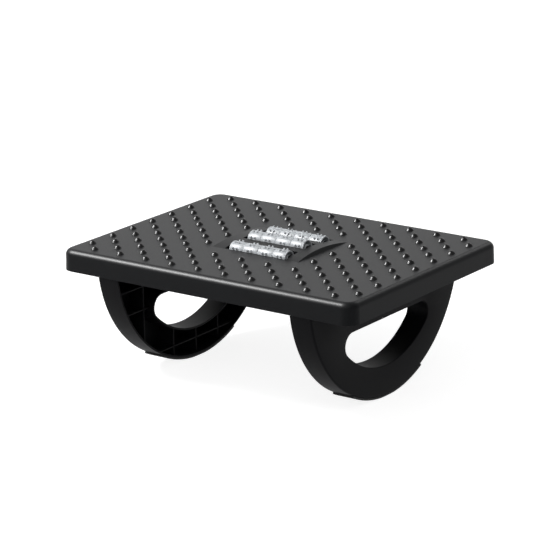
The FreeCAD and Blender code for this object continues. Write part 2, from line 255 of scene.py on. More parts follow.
def bare_metal(name, colour, roughness, line_mm, stretch):
    """Metal with fine lines along X, stretched by the given factor."""
    material, tree = new_material(name)
    place = add_node(tree, "ShaderNodeTexCoord").outputs["Object"]
    drawn = add_node(tree, "ShaderNodeMapping", {"Vector": place, "Scale": (1 / stretch, 1.0, 1.0)})
    lines = add_node(tree, "ShaderNodeTexNoise", {"Vector": drawn.outputs[0], "Scale": 1 / (line_mm * MM)})
    gloss = add_node(tree, "ShaderNodeMapRange", {
        "Value": lines.outputs["Fac"], "To Min": roughness - line_spread, "To Max": roughness + line_spread
    })
    shader = add_node(tree, "ShaderNodeBsdfPrincipled", {
        "Base Color": srgb(colour), "Roughness": gloss.outputs[0], "Metallic": 1.0
    })
    add_node(tree, "ShaderNodeOutputMaterial", {"Surface": shader.outputs[0]})
    return material


axle_steel = bare_metal("drawn_steel_axle", "#b9bbbd", 0.35, 0.4, 20.0)
zinc_steel = bare_metal("zinc_plated_steel_screw", "#c3c6ca", 0.3, 0.8, 1.0)
print("metals:", axle_steel.name, "and", zinc_steel.name)

# %% [markdown]
# ## Meshes from loops
# Nearly every piece here is a run of closed loops joined by bands of quads: a lathe turns one loop into
# a round thing, and an outline that is drawn smaller and smaller makes a rounded edge. One function
# joins them.

# %% Mesh helpers
def skin(bm, loops, closed=False):
    """Joins closed loops of points, one after another, with bands of quads. A one-point loop is a pole."""
    rows = [[bm.verts.new(Vector(point) * MM) for point in loop] for loop in loops]
    for low, high in zip(rows, rows[1:] + rows[:1] if closed else rows[1:]):
        for k in range(max(len(low), len(high))):
            corners = [low[k % len(low)], low[(k + 1) % len(low)]]
            corners += [high[(k + 1) % len(high)], high[k % len(high)]]
            corners = list(dict.fromkeys(corners))
            if len(corners) > 2:
                bm.faces.new(corners)
    return rows


def loop_edges(bm, row):
    """The edges round one loop of vertices, made if they aren't there yet."""
    pairs = zip(row, row[1:] + row[:1])
    return [bm.edges.get(pair) or bm.edges.new(pair) for pair in pairs]


def to_mesh(name, bm, smooth_angle=35.0):
    """Ends a bmesh: outward normals, smooth shading, and hard edges past the given angle."""
    bmesh.ops.remove_doubles(bm, verts=bm.verts, dist=0.001 * MM)
    bmesh.ops.recalc_face_normals(bm, faces=bm.faces)
    mesh = bpy.data.meshes.new(name)
    bm.to_mesh(mesh)
    bm.free()
    mesh.shade_smooth()
    mesh.set_sharp_from_angle(angle=math.radians(smooth_angle))
    return mesh


def piece(name, mesh, material, body, nodes):
    """Puts a finished mesh in the scene, riding on its body in place of its construction nodes."""
    obj = bpy.data.objects.new(name, mesh)
    bpy.context.collection.objects.link(obj)
    mesh.materials.clear()
    mesh.materials.append(material)
    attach(obj, body)
    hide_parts(*nodes)
    print(name, len(mesh.vertices), "vertices")
    return obj


def soften(obj, width_mm, segments=2, angle=40.0):
    """Rounds the hard edges of a piece, as every mould does, and keeps its flats looking flat."""
    bevel = obj.modifiers.new("soft_edges", "BEVEL")
    bevel.width = width_mm * MM
    bevel.segments = segments
    bevel.angle_limit = math.radians(angle)
    flats = obj.modifiers.new("flat_flats", "WEIGHTED_NORMAL")
    flats.keep_sharp = True


def lathe(profile, steps):
    """Rings round Z through (radius, height) points; a radius of nought is a pole."""
    loops = []
    for radius, height in profile:
        count = steps if radius > 0 else 1
        turns = [2 * math.pi * k / steps for k in range(count)]
        loops.append([(radius * math.cos(t), radius * math.sin(t), height) for t in turns])
    return loops


def moved(loops, x, y):
    """Lathe loops moved to a place on the plan."""
    return [[(px + x, py + y, pz) for px, py, pz in loop] for loop in loops]


def arc(centre, radius, start, end, steps):
    """Points on an arc in a plane, angles in degrees."""
    turns = [math.radians(start + (end - start) * k / steps) for k in range(steps + 1)]
    return [(centre[0] + radius * math.cos(t), centre[1] + radius * math.sin(t)) for t in turns]


# %% [markdown]
# ## Geometry Nodes in the script
# What repeats is grown by Geometry Nodes. A tree has named inputs for its sizes and ends with Realize
# Instances and Set Material, because the export drops instances. The result is then turned to a plain
# mesh.

# %% Tree helpers
def new_tree(name, inputs):
    """A Geometry Nodes tree with the given inputs, by name and type, and one geometry output."""
    tree = bpy.data.node_groups.new(name, "GeometryNodeTree")
    for label, kind in inputs.items():
        tree.interface.new_socket(label, in_out="INPUT", socket_type="NodeSocket" + kind)
    tree.interface.new_socket("Geometry", in_out="OUTPUT", socket_type="NodeSocketGeometry")
    return tree, add_node(tree, "NodeGroupInput").outputs


def end_tree(tree, geometry, finish):
    """The last three nodes of every tree here."""
    real = add_node(tree, "GeometryNodeRealizeInstances", {"Geometry": geometry})
    painted = add_node(tree, "GeometryNodeSetMaterial", {"Geometry": real.outputs[0], "Material": finish})
    add_node(tree, "NodeGroupOutput", {0: painted.outputs[0]})


def grow(name, tree, values, base=None):
    """Runs a tree on a mesh, or on nothing, and returns the result as a plain mesh."""
    holder = bpy.data.objects.new(name, base or bpy.data.meshes.new(name))
    bpy.context.collection.objects.link(holder)
    modifier = holder.modifiers.new("grow", "NODES")
    modifier.node_group = tree
    for item in tree.interface.items_tree:
        if item.name in values:
            modifier[item.identifier] = values[item.name]
    bpy.context.view_layer.update()
    evaluated = holder.evaluated_get(bpy.context.evaluated_depsgraph_get())
    mesh = bpy.data.meshes.new_from_object(evaluated)
    holder.modifiers.remove(modifier)
    bpy.data.objects.remove(holder)
    return mesh


def template(name, mesh):
    """An object that a tree copies from. It is taken out of the scene by drop()."""
    obj = bpy.data.objects.new(name, mesh)
    bpy.context.collection.objects.link(obj)
    return obj


def drop(*objects):
    """Removes templates once the trees have run."""
    for obj in objects:
        bpy.data.objects.remove(obj)


# %% [markdown]
# ## Deck
# The deck is one thin moulding. Its skirt leans out by half a millimetre, so that it leaves the mould,
# and turns into the top with a big soft edge. A bevelled box would be quicker to make, but it can't
# lean, and no hump can grow out of it without a seam. So the deck is made as a sheet, outer face only,
# and a Solidify modifier gives it its wall.

# %% Deck sizes and outline
deck_half_x, deck_half_y = 218.5, 161.5
deck_top, skirt_foot = 166.5, 139.5
deck_wall = 2.8
skirt_lean = 0.5
deck_corner, deck_edge = 17.0, 8.0
plain_foot = 1.0
corner_steps, edge_steps = 12, 9
print("deck", 2 * deck_half_x, "by", 2 * deck_half_y, "mm")


def deck_outline(inset, z):
    """The deck's rounded rectangle, drawn smaller by the inset."""
    radius = deck_corner - inset
    points = []
    for quarter, (a, b) in enumerate(square):
        centre = (a * (deck_half_x - deck_corner), b * (deck_half_y - deck_corner))
        points += arc(centre, radius, 90 * quarter, 90 * quarter + 90, corner_steps)
    return [(x, y, z) for x, y in points]


# %% [markdown]
# The rollers stand in a low arched hump. Seen along X it is a flat arc, and its two ends are cut off by
# steep slopes, so each end wall is a thin crescent. Columns of points that follow the crest make that
# edge exact. A Boolean could cut the slots, but it leaves long thin faces that shade badly, so the
# cells that fall in a slot are simply left out. The slot ends have a lug in the middle, which holds the
# axle.

# %% Hump and slots
hump_half_x, hump_half_y, hump_rise, hump_end_run = 65.0, 53.0, 4.8, 3.0
hump_radius = (hump_half_y ** 2 + hump_rise ** 2) / (2 * hump_rise)
roller_places = {"front": (-38.0, 163.5, 20.5), "middle": (0.0, 167.9, 20.5), "rear": (38.0, 163.5, 43.0)}
slot_half_x, slot_half_y = 46.5, 13.1
lug_start, lug_end, lug_half_y = 42.6, 49.4, 3.5
row_step, column_step = 4.0, 12.0


def arch(y):
    """The hump's height over the deck along its middle."""
    return math.sqrt(hump_radius ** 2 - y ** 2) - hump_radius + hump_rise


def in_slot(x, y):
    """Whether a point of the hump lies in a slot, and not on a lug."""
    for slot_y, z, turn in roller_places.values():
        off = abs(y - slot_y)
        if off < slot_half_y and abs(x) < (lug_start if off < lug_half_y else slot_half_x):
            return True
    return False


def graded(marks, step):
    """The marks in order, with more values between them where they lie further apart than the step."""
    marks = sorted(marks)
    values = [marks[0]]
    for start, end in zip(marks, marks[1:]):
        count = max(1, round((end - start) / step))
        values += [start + (end - start) * k / count for k in range(1, count + 1)]
    return values


marks = {-hump_half_y, hump_half_y}
for slot_y, z, turn in roller_places.values():
    marks |= {slot_y + s * half for s in (-1, 1) for half in (slot_half_y, lug_half_y)}
hump_rows = graded(marks, row_step)
flat_columns = graded({-slot_half_x, -lug_start, 0.0, lug_start, slot_half_x}, column_step)
print("hump rows", len(hump_rows), "and flat columns", len(flat_columns))

# %% Deck skin
bm = bmesh.new()
edge_arc = arc((deck_edge + skirt_lean, deck_top - deck_edge), deck_edge, 180, 90, edge_steps)
profile = [(0.0, skirt_foot), (0.0, skirt_foot + plain_foot)] + edge_arc
rows = skin(bm, [deck_outline(inset, z) for inset, z in profile])

corners_of_grid = {}


def grid_point(x, y, height):
    """One vertex of the hump, used again where two columns meet."""
    key = (round(x, 3), round(y, 3), round(height, 3))
    if key not in corners_of_grid:
        corners_of_grid[key] = bm.verts.new(Vector((x, y, deck_top + height)) * MM)
    return corners_of_grid[key]


grid = []
for y in hump_rows:
    height = arch(y)
    crest = hump_half_x - height / hump_rise * hump_end_run
    shoulder = (crest + slot_half_x) / 2
    line = [(-hump_half_x, 0.0), (-crest, height), (-shoulder, height)]
    line += [(x, height) for x in flat_columns]
    line += [(shoulder, height), (crest, height), (hump_half_x, 0.0)]
    grid.append([grid_point(x, y, h) for x, h in line])
for low, high in zip(grid, grid[1:]):
    for k in range(len(low) - 1):
        cell = list(dict.fromkeys((low[k], low[k + 1], high[k + 1], high[k])))
        middle = sum((v.co for v in cell), Vector()) / len(cell) / MM
        if not in_slot(middle.x, middle.y):
            bm.faces.new(cell)

quarters = [rows[-1][k:k + corner_steps + 1] for k in range(0, len(rows[-1]), corner_steps + 1)]
hump_sides = [grid[-1][::-1], [line[0] for line in grid[::-1]], grid[0], [line[-1] for line in grid]]
for quarter, following, side in zip(quarters, quarters[1:] + quarters[:1], hump_sides):
    side = list(dict.fromkeys(side))
    bm.faces.new(quarter + side[:1])
    bm.faces.new([quarter[-1], following[0]] + side[::-1])
bmesh.ops.delete(bm, geom=[v for v in bm.verts if not v.link_faces], context="VERTS")
deck_mesh = to_mesh("deck_skin", bm)
if sum(face.normal.z * face.area for face in deck_mesh.polygons) < 0:
    deck_mesh.flip_normals()
deck = piece("deck_skin", deck_mesh, deck_plastic, "root", ["platform"])
wall = deck.modifiers.new("wall", "SOLIDIFY")
wall.thickness = deck_wall * MM
wall.offset = -1.0
wall.use_even_offset = True
soften(deck, 0.5, 2, 44.0)

# %% [markdown]
# ## Grip nubs
# The nubs keep a foot from sliding, and stand in a staggered lattice. Geometry Nodes can grow it from a
# grid of points: every second point goes, as on a chess board, and so does the patch under the hump.
# One small polished dome is copied to each that is left. Two loops in Python would do it too, but a
# tree says the rule once, and its sizes are inputs with names.

# %% Grip nubs
nub_profile = [(5.3, -0.4), (5.15, 0.0), (4.75, 0.5), (4.3, 1.2), (3.7, 2.1), (2.85, 3.0), (1.65, 3.7)]
nub_profile += [(0.0, 4.0)]
nub_pitch, nub_columns, nub_rows = 20.0, 21, 15
nub_steps = 16
bm = bmesh.new()
bm.faces.new(skin(bm, lathe(nub_profile, nub_steps))[0])
nub = template("nub_template", to_mesh("nub", bm, 60.0))

tree, given = new_tree("nub_lattice", {
    "Pitch": "Float", "Columns": "Int", "Rows": "Int", "Bare patch": "Float", "Height": "Float",
    "Nub": "Object", "Finish": "Material"
})
spans = []
for label in ("Columns", "Rows"):
    gaps = add_node(tree, "ShaderNodeMath", {0: given[label], 1: 1.0}, operation="SUBTRACT")
    spans.append(add_node(tree, "ShaderNodeMath", {0: gaps.outputs[0], 1: given["Pitch"]},
                          operation="MULTIPLY"))
lattice = add_node(tree, "GeometryNodeMeshGrid", {
    "Size X": spans[0].outputs[0], "Size Y": spans[1].outputs[0], "Vertices X": given["Columns"],
    "Vertices Y": given["Rows"]
})
at = add_node(tree, "ShaderNodeSeparateXYZ", {0: add_node(tree, "GeometryNodeInputPosition").outputs[0]})
both = add_node(tree, "ShaderNodeMath", {0: at.outputs["X"], 1: at.outputs["Y"]})
steps = add_node(tree, "ShaderNodeMath", {0: both.outputs[0], 1: given["Pitch"]}, operation="DIVIDE")
count = add_node(tree, "ShaderNodeMath", {0: steps.outputs[0]}, operation="ROUND")
odd = add_node(tree, "ShaderNodeMath", {0: count.outputs[0], 1: 2.0}, operation="FLOORED_MODULO")
reach = [add_node(tree, "ShaderNodeMath", {0: at.outputs[axis]}, operation="ABSOLUTE") for axis in "XY"]
furthest = add_node(tree, "ShaderNodeMath", {0: reach[0].outputs[0], 1: reach[1].outputs[0]},
                    operation="MAXIMUM")
patch = add_node(tree, "ShaderNodeMath", {0: furthest.outputs[0], 1: given["Bare patch"]},
                 operation="LESS_THAN")
unwanted = add_node(tree, "ShaderNodeMath", {0: odd.outputs[0], 1: patch.outputs[0]}, operation="MAXIMUM")
kept = add_node(tree, "GeometryNodeDeleteGeometry", {
    "Geometry": lattice.outputs["Mesh"], "Selection": unwanted.outputs[0]
})
shape = add_node(tree, "GeometryNodeObjectInfo", {"Object": given["Nub"]})
copies = add_node(tree, "GeometryNodeInstanceOnPoints", {
    "Points": kept.outputs[0], "Instance": shape.outputs["Geometry"]
})
lift = add_node(tree, "ShaderNodeCombineXYZ", {"Z": given["Height"]})
raised = add_node(tree, "GeometryNodeTransform", {
    "Geometry": copies.outputs[0], "Translation": lift.outputs[0]
})
end_tree(tree, raised.outputs[0], given["Finish"])

nubs_mesh = grow("deck_nubs", tree, {
    "Pitch": nub_pitch * MM, "Columns": nub_columns, "Rows": nub_rows, "Bare patch": hump_half_x * MM,
    "Height": deck_top * MM, "Nub": nub, "Finish": nub_plastic
})
piece("deck_nubs", nubs_mesh, nub_plastic, "root", ["platform"])
drop(nub)

# %% [markdown]
# ## Ribs and bosses under the deck
# A thin tray bends, so it is ribbed, and two deeper ribs stand on the walls of each leg. Each rib is a
# plain slab that runs into the walls it meets. They could be one grid, but then all would have one
# depth. A tree sets a unit cube on one point for each rib and scales it by a size that the point
# carries.

# %% Rib tree
bm = bmesh.new()
bmesh.ops.create_cube(bm, size=1.0)
slab = template("slab_template", to_mesh("slab", bm))

rib_tree, given = new_tree("ribs_on_points", {
    "Geometry": "Geometry", "Slab": "Object", "Finish": "Material"
})
shape = add_node(rib_tree, "GeometryNodeObjectInfo", {"Object": given["Slab"]})
size = add_node(rib_tree, "GeometryNodeInputNamedAttribute", {"Name": "size"}, data_type="FLOAT_VECTOR")
slabs = add_node(rib_tree, "GeometryNodeInstanceOnPoints", {
    "Points": given["Geometry"], "Instance": shape.outputs["Geometry"], "Scale": size.outputs[0]
})
end_tree(rib_tree, slabs.outputs[0], given["Finish"])


def rib_mesh(name, boxes, finish):
    """Slabs between pairs of corners in millimetres, as one mesh."""
    points = bpy.data.meshes.new(name)
    middles = [(Vector(low) + Vector(high)) / 2 * MM for low, high in boxes]
    points.from_pydata(middles, [], [])
    sizes = points.attributes.new("size", "FLOAT_VECTOR", "POINT")
    for item, (low, high) in zip(sizes.data, boxes):
        item.vector = [abs(b - a) * MM for a, b in zip(low, high)]
    return grow(name, rib_tree, {"Slab": slab, "Finish": finish}, points)


# %% Deck ribs
rib_thickness, rib_depth, widest_cell = 2.2, 18.0, 43.0
rocker_inner_x, rocker_outer_x = 129.0, 159.8
roller_half_x = 42.0
well_half_x, well_half_y = 51.9, 54.0
bar_middle_y = 19.0
strap_top = 157.5
plate_z = deck_top - deck_wall
rib_foot = plate_z - rib_depth
buried, rib_overlap = 1.2, 0.3


def spread(start, end):
    """Rib places between two walls, so close that no cell is wider than the widest."""
    cells = math.ceil((end - start) / (widest_cell + rib_thickness))
    return [start + (end - start) * k / cells for k in range(1, cells)]


side_x = deck_half_x - deck_wall
end_y = deck_half_y - deck_wall
half = rib_thickness / 2
flat_top = plate_z + rib_overlap
hump_roof = deck_top + arch(bar_middle_y) - deck_wall + buried
seat_lines = [rocker_inner_x + half, rocker_outer_x - half]
boxes = []
for x in [well_half_x] + spread(well_half_x, seat_lines[0]) + spread(seat_lines[1], side_x) + seat_lines:
    foot = skirt_foot if x in seat_lines else rib_foot
    boxes += [((s * x - half, -end_y, foot), (s * x + half, end_y, flat_top)) for s in (-1, 1)]
for x in spread(-well_half_x, well_half_x):
    boxes += [((x - half, min(a, b), rib_foot), (x + half, max(a, b), flat_top))
              for a, b in ((-end_y, -well_half_y), (well_half_y, end_y))]
for y in [well_half_y] + spread(well_half_y, end_y):
    boxes += [((-side_x, s * y - half, rib_foot), (side_x, s * y + half, flat_top)) for s in (-1, 1)]
for y in (-bar_middle_y, bar_middle_y):
    boxes.append(((-roller_half_x, y - half, rib_foot), (roller_half_x, y + half, hump_roof)))
    for s in (-1, 1):
        boxes.append(((s * roller_half_x, y - half, strap_top), (s * well_half_x, y + half, hump_roof)))
        boxes.append(((s * well_half_x, y - half, rib_foot), (s * side_x, y + half, flat_top)))
ribs = piece("deck_ribs", rib_mesh("deck_ribs", boxes, leg_plastic), leg_plastic, "root",
             ["platform"])
soften(ribs, 0.4, 2)
print("ribs", len(boxes))

# %% [markdown]
# Screws need bosses, which are tubes that hang from the plate, and each roller's axle needs a lug at
# both slot ends. A lug is a block whose foot is hollowed to a half-round seat, so it is drawn as an
# outline and pushed along X.

# %% Bosses and lugs
boss_steps, seat_steps, boss_edge = 32, 16, 0.3
journal_radius, journal_gap = 2.0, 0.05
strap_middle_x = (lug_start + lug_end) / 2
rocker_middle_x, rocker_screw_y = (rocker_inner_x + rocker_outer_x) / 2, 60.0
strap_screw_places = [(s * strap_middle_x, t * bar_middle_y) for s in (-1, 1) for t in (-1, 1)]
rocker_screw_places = [(s * rocker_middle_x, t * rocker_screw_y) for s in (-1, 1) for t in (-1, 1)]
bm = bmesh.new()
for places, bore, outer, foot, roof in ((strap_screw_places, 1.3, 3.5, strap_top, hump_roof),
                                        (rocker_screw_places, 1.7, 3.9, skirt_foot, flat_top)):
    tube = [(bore, roof), (bore, foot + boss_edge), (bore + boss_edge, foot), (outer - boss_edge, foot),
            (outer, foot + boss_edge), (outer, roof)]
    for x, y in places:
        skin(bm, moved(lathe(tube, boss_steps), x, y), closed=True)
for y, z, turn in roller_places.values():
    seat = arc((0.0, 0.0), journal_radius + journal_gap, 0, 180, seat_steps)
    roof = deck_top + arch(abs(y) + lug_half_y) - deck_wall + buried - z
    outline = [(lug_half_y, 0.0), (lug_half_y, roof), (-lug_half_y, roof), (-lug_half_y, 0.0)] + seat[::-1]
    for s in (-1, 1):
        ends = [[(s * x, y + a, z + b) for a, b in outline] for x in (lug_start, lug_end)]
        rows = skin(bm, ends)
        for row in rows:
            bm.faces.new(row)
piece("deck_bosses", to_mesh("deck_bosses", bm), leg_plastic, "root", ["platform"])

# %% [markdown]
# ## Rockers
# Each leg is a half-moon shell: closed on the outside, open on the inside, with a D-shaped hole that
# has its own wall. Both outlines are arcs about the same centre, so both can be drawn larger or smaller
# by a formula, and the rim, the rounded edge and the hole's wall are bands between such copies.

# %% Rocker outlines
rocker_wall, rocker_width = 2.5, rocker_outer_x - rocker_inner_x
tread_thickness, tread_flat = 2.5, 0.6
seat_half_y = 160.3
seat_rise = skirt_foot - tread_thickness + tread_flat
rocker_radius = (seat_half_y ** 2 + seat_rise ** 2) / (2 * seat_rise)
rocker_centre_z = rocker_radius + tread_thickness - tread_flat
rocker_edge, hole_edge, lip = 2.4, 1.3, 0.35
rocker_edge_steps, hole_edge_steps = 7, 4
top_share = 0.3
hole_arc_radius, hole_top, hole_corner = rocker_radius - 38.0, 100.0, 15.5
hole_corner_drop = rocker_centre_z - hole_top + hole_corner
hole_corner_y = math.sqrt((hole_arc_radius - hole_corner) ** 2 - hole_corner_drop ** 2)
moon_steps, moon_top_steps = 84, 12
hole_corner_steps, hole_arc_steps, hole_top_steps = 12, 36, 8
print("rocker radius", round(rocker_radius, 1), "mm")


def half_moon(inset, top_inset):
    """The rocker's outline as (y, z) points: the rolling arc, then the flat top in short steps."""
    radius = rocker_radius - inset
    top = skirt_foot - top_inset
    start = math.degrees(math.asin((top - rocker_centre_z) / radius))
    points = arc((0.0, rocker_centre_z), radius, start, -180 - start, moon_steps)
    end_y = points[-1][0]
    return points + [(end_y * (1 - 2 * k / moon_top_steps), top) for k in range(1, moon_top_steps)]


def d_hole(growth):
    """The hole's outline: flat top, two round corners and an arc about the rocker's own centre."""
    corner_z = hole_top - hole_corner
    lean = math.degrees(math.atan2(corner_z - rocker_centre_z, hole_corner_y))
    right = arc((hole_corner_y, corner_z), hole_corner + growth, 90, lean, hole_corner_steps)
    under = arc((0.0, rocker_centre_z), hole_arc_radius + growth, lean, -180 - lean, hole_arc_steps)
    left = [(-y, z) for y, z in right[::-1]]
    top = [(hole_corner_y * (2 * k / hole_top_steps - 1), hole_top + growth)
           for k in range(1, hole_top_steps)]
    return right + under[1:-1] + left + top


# %% Rocker shell
def rocker_shell(side):
    """The closed shell of one rocker, without its ribs."""
    def at(x, outline):
        return [(side * (rocker_inner_x + x), y, z) for y, z in outline]

    floor_x = rocker_width - rocker_wall
    rim = [(rocker_wall, floor_x), (rocker_wall, lip), (rocker_wall - lip, 0.0), (lip, 0.0), (0.0, lip)]
    rounded = arc((rocker_width - rocker_edge, rocker_edge), rocker_edge, -90, 0, rocker_edge_steps)
    rim += [(inset, x) for x, inset in rounded]
    hole = arc((rocker_width - hole_edge, hole_edge), hole_edge, 0, -90, hole_edge_steps)
    wall = [(growth, x) for x, growth in hole]
    wall += [(0.0, lip), (lip, 0.0), (rocker_wall - lip, 0.0), (rocker_wall, lip), (rocker_wall, floor_x)]
    bm = bmesh.new()
    outer = skin(bm, [at(x, half_moon(inset, top_share * inset if x > lip else inset)) for inset, x in rim])
    inner = skin(bm, [at(x, d_hole(growth)) for growth, x in wall])
    for one, other in ((outer[-1], inner[0]), (outer[0], inner[-1])):
        bmesh.ops.triangle_fill(bm, edges=loop_edges(bm, one) + loop_edges(bm, other), use_beauty=True)
    return to_mesh(f"rocker_{side}", bm)


# %% [markdown]
# The ribs inside a rocker follow a few straight lines. Walking along a line in short steps and asking,
# at each, whether the point lies in the leg's band gives the stretches where a rib runs, on either side
# of the hole. A Boolean could trim long slabs to the same shape, but it is slower and can fail where
# faces touch.

# %% Rocker ribs
upright_ribs = (0.0, 46.0, -46.0, 104.0, -104.0)
level_ribs = (117.0, 86.9, rocker_centre_z - rocker_radius + 21.0)
rocker_rib, rib_recess = 2.0, 5.5
walk = 0.25


def in_wall_or_cavity(y, z):
    """Whether a point lies between the middle of the rim wall and the middle of the hole's wall."""
    if z > skirt_foot - buried or math.hypot(y, z - rocker_centre_z) > rocker_radius - buried:
        return False
    corner_z = hole_top - hole_corner
    if z > hole_top + buried or math.hypot(y, z - rocker_centre_z) > hole_arc_radius + buried:
        return True
    off_y = abs(y) - hole_corner_y
    if off_y <= 0:
        return False
    past_corner = z > corner_z - off_y * (rocker_centre_z - corner_z) / hole_corner_y
    return past_corner and math.hypot(off_y, z - corner_z) > hole_corner + buried


def stretches(inside, low, high):
    """The stretches of a line on which inside() holds."""
    found, start = [], None
    for k in range(round((high - low) / walk) + 1):
        here = low + k * walk
        if inside(here) and start is None:
            start = here
        if not inside(here) and start is not None:
            found.append((start, here - walk))
            start = None
    return found


def rocker_rib_boxes(side):
    """Every rib of one rocker, from its recess behind the rim to the middle of the closed face."""
    x0 = side * (rocker_inner_x + rib_recess)
    x1 = side * (rocker_outer_x - rocker_wall + buried)
    half = rocker_rib / 2
    boxes = []
    for y in upright_ribs:
        for low, high in stretches(lambda z: in_wall_or_cavity(y, z), 0.0, skirt_foot):
            boxes.append(((x0, y - half, low), (x1, y + half, high)))
    for z in level_ribs:
        for low, high in stretches(lambda y: in_wall_or_cavity(y, z), -rocker_radius, rocker_radius):
            boxes.append(((x0, low, z - half), (x1, high, z + half)))
    return boxes


# %% Rockers
tube_bore, tube_outer, screw_seat = 4.265, 6.765, skirt_foot - rocker_wall
drill_low, drill_high = hole_top - 2.0, hole_top + 4.0
for name, side in sides.items():
    node = "rocker_" + name
    shell = piece(node + "_shell", rocker_shell(side), leg_plastic, "root", [node])
    ribs = piece(node + "_ribs", rib_mesh(node + "_ribs", rocker_rib_boxes(side), leg_plastic), leg_plastic,
                 "root", [node])
    soften(ribs, 0.3, 2)
    bm = bmesh.new()
    tube = [(tube_bore, hole_top + buried), (tube_outer, hole_top + buried),
            (tube_outer, screw_seat + buried), (tube_bore, screw_seat + buried)]
    for x, y in rocker_screw_places:
        if x * side > 0:
            skin(bm, moved(lathe(tube, boss_steps), x, y), closed=True)
    piece(node + "_tubes", to_mesh(node + "_tubes", bm), leg_plastic, "root", [node])
    bm = bmesh.new()
    for x, y in rocker_screw_places:
        if x * side > 0:
            cutter = [(0.0, drill_low), (tube_bore, drill_low), (tube_bore, drill_high), (0.0, drill_high)]
            skin(bm, moved(lathe(cutter, boss_steps), x, y))
    drill = template("drill", to_mesh("drill", bm))
    drill.hide_render = True
    bore = shell.modifiers.new("screw_bores", "BOOLEAN")
    bore.object = drill
    bore.solver = "EXACT"
    bpy.context.view_layer.update()
    bored = bpy.data.meshes.new_from_object(shell.evaluated_get(bpy.context.evaluated_depsgraph_get()))
    shell.modifiers.remove(bore)
    shell.data = bored
    drop(drill)

# %% [markdown]
# ## Treads
# A rubber strip is bonded round the lowest part of each rocker. It is a rounded rectangle that follows
# the rolling arc, and its lowest line is flat, so that the empty footrest stands level. A bevelled
# curve could follow the arc too, but with loops one max() presses the flat.

# %% Treads
tread_half_angle, tread_inset, tread_edge = 27.0, 0.4, 0.7
tread_bond = 0.1
tread_steps, tread_edge_steps = 24, 4
for name, side in sides.items():
    x0 = rocker_inner_x + tread_inset
    x1 = rocker_outer_x - tread_inset
    back = rocker_radius - tread_bond
    edge_r = rocker_radius + tread_thickness - tread_edge
    section = [(x0, back)] + arc((x0 + tread_edge, edge_r), tread_edge, 180, 90, tread_edge_steps)
    section += arc((x1 - tread_edge, edge_r), tread_edge, 90, 0, tread_edge_steps) + [(x1, back)]
    bm = bmesh.new()
    loops = []
    for k in range(2 * tread_steps + 1):
        turn = math.radians(tread_half_angle * (k / tread_steps - 1))
        loops.append([(side * x, r * math.sin(turn), max(0.0, rocker_centre_z - r * math.cos(turn)))
                      for x, r in section])
    rows = skin(bm, loops)
    for row in (rows[0], rows[-1]):
        bm.faces.new(row)
    piece(f"tread_{name}_strip", to_mesh("tread", bm), tread_rubber, "root",
          ["tread_" + name])

# %% [markdown]
# ## Rollers
# A roller is four rings side by side on a steel axle. The outermost rings have a hollow end, so one
# sees a thin rim and the hub round the axle. Each ring is a closed lathe of loops, and a tree grows its
# pairs of pegs. All four rings of a roller start at one angle, because a hexagon on the axle holds them
# in line.

# %% Ring body
ring_pitch, rings_per_roller, joint_gap = 22.4, 4, 0.4
ring_radius, ring_bore, ring_edge, mid_edge = 10.5, 3.5, 0.45, 0.13
rim_thickness, recess_depth, hub_radius = 1.5, 8.0, 5.0
hub_edge, rim_edge = 0.3, 0.2
ring_steps = 56


def ring_section(index):
    """The ring's closed section as (radius, x) points, from one end to the other."""
    start = (index - rings_per_roller / 2) * ring_pitch
    x0 = -roller_half_x if index == 0 else start + joint_gap / 2
    x1 = roller_half_x if index == rings_per_roller - 1 else start + ring_pitch - joint_gap / 2
    rounded = [(ring_radius - ring_edge, 0.0), (ring_radius - mid_edge, mid_edge), (ring_radius, ring_edge)]
    left = [(ring_bore, x0)] + [(radius, x0 + along) for radius, along in rounded]
    right = [(radius, x1 - along) for radius, along in rounded[::-1]] + [(ring_bore, x1)]
    inner = ring_radius - rim_thickness
    if index == 0:
        hub = [(ring_bore, x0), (hub_radius - hub_edge, x0), (hub_radius, x0 + hub_edge)]
        recess = [(hub_radius, x0 + recess_depth), (inner, x0 + recess_depth)]
        left = hub + recess + [(inner, x0 + rim_edge), (inner + rim_edge, x0)] + left[1:]
    if index == rings_per_roller - 1:
        recess = [(inner, x1 - recess_depth), (hub_radius, x1 - recess_depth)]
        hub = [(hub_radius, x1 - hub_edge), (hub_radius - hub_edge, x1), (ring_bore, x1)]
        right = right[:-1] + [(inner + rim_edge, x1), (inner, x1 - rim_edge)] + recess + hub
    return left + right


def ring_mesh(name, index, y, z):
    """One ring as a closed lathe round its axle."""
    bm = bmesh.new()
    loops = [[(h, y + a, z + b) for a, b, h in loop] for loop in lathe(ring_section(index), ring_steps)]
    skin(bm, loops, closed=True)
    return to_mesh(name, bm)


# %% Peg and peg tree
peg_profile = [(1.75, -0.5), (1.55, 0.0), (1.3, 0.25), (1.18, 1.0), (1.0, 1.65), (0.6, 2.05), (0.0, 2.2)]
peg_steps, peg_rows, pair_gap = 10, 8, 5.3
bm = bmesh.new()
bm.faces.new(skin(bm, lathe(peg_profile, peg_steps))[0])
peg = template("peg_template", to_mesh("peg", bm, 60.0))

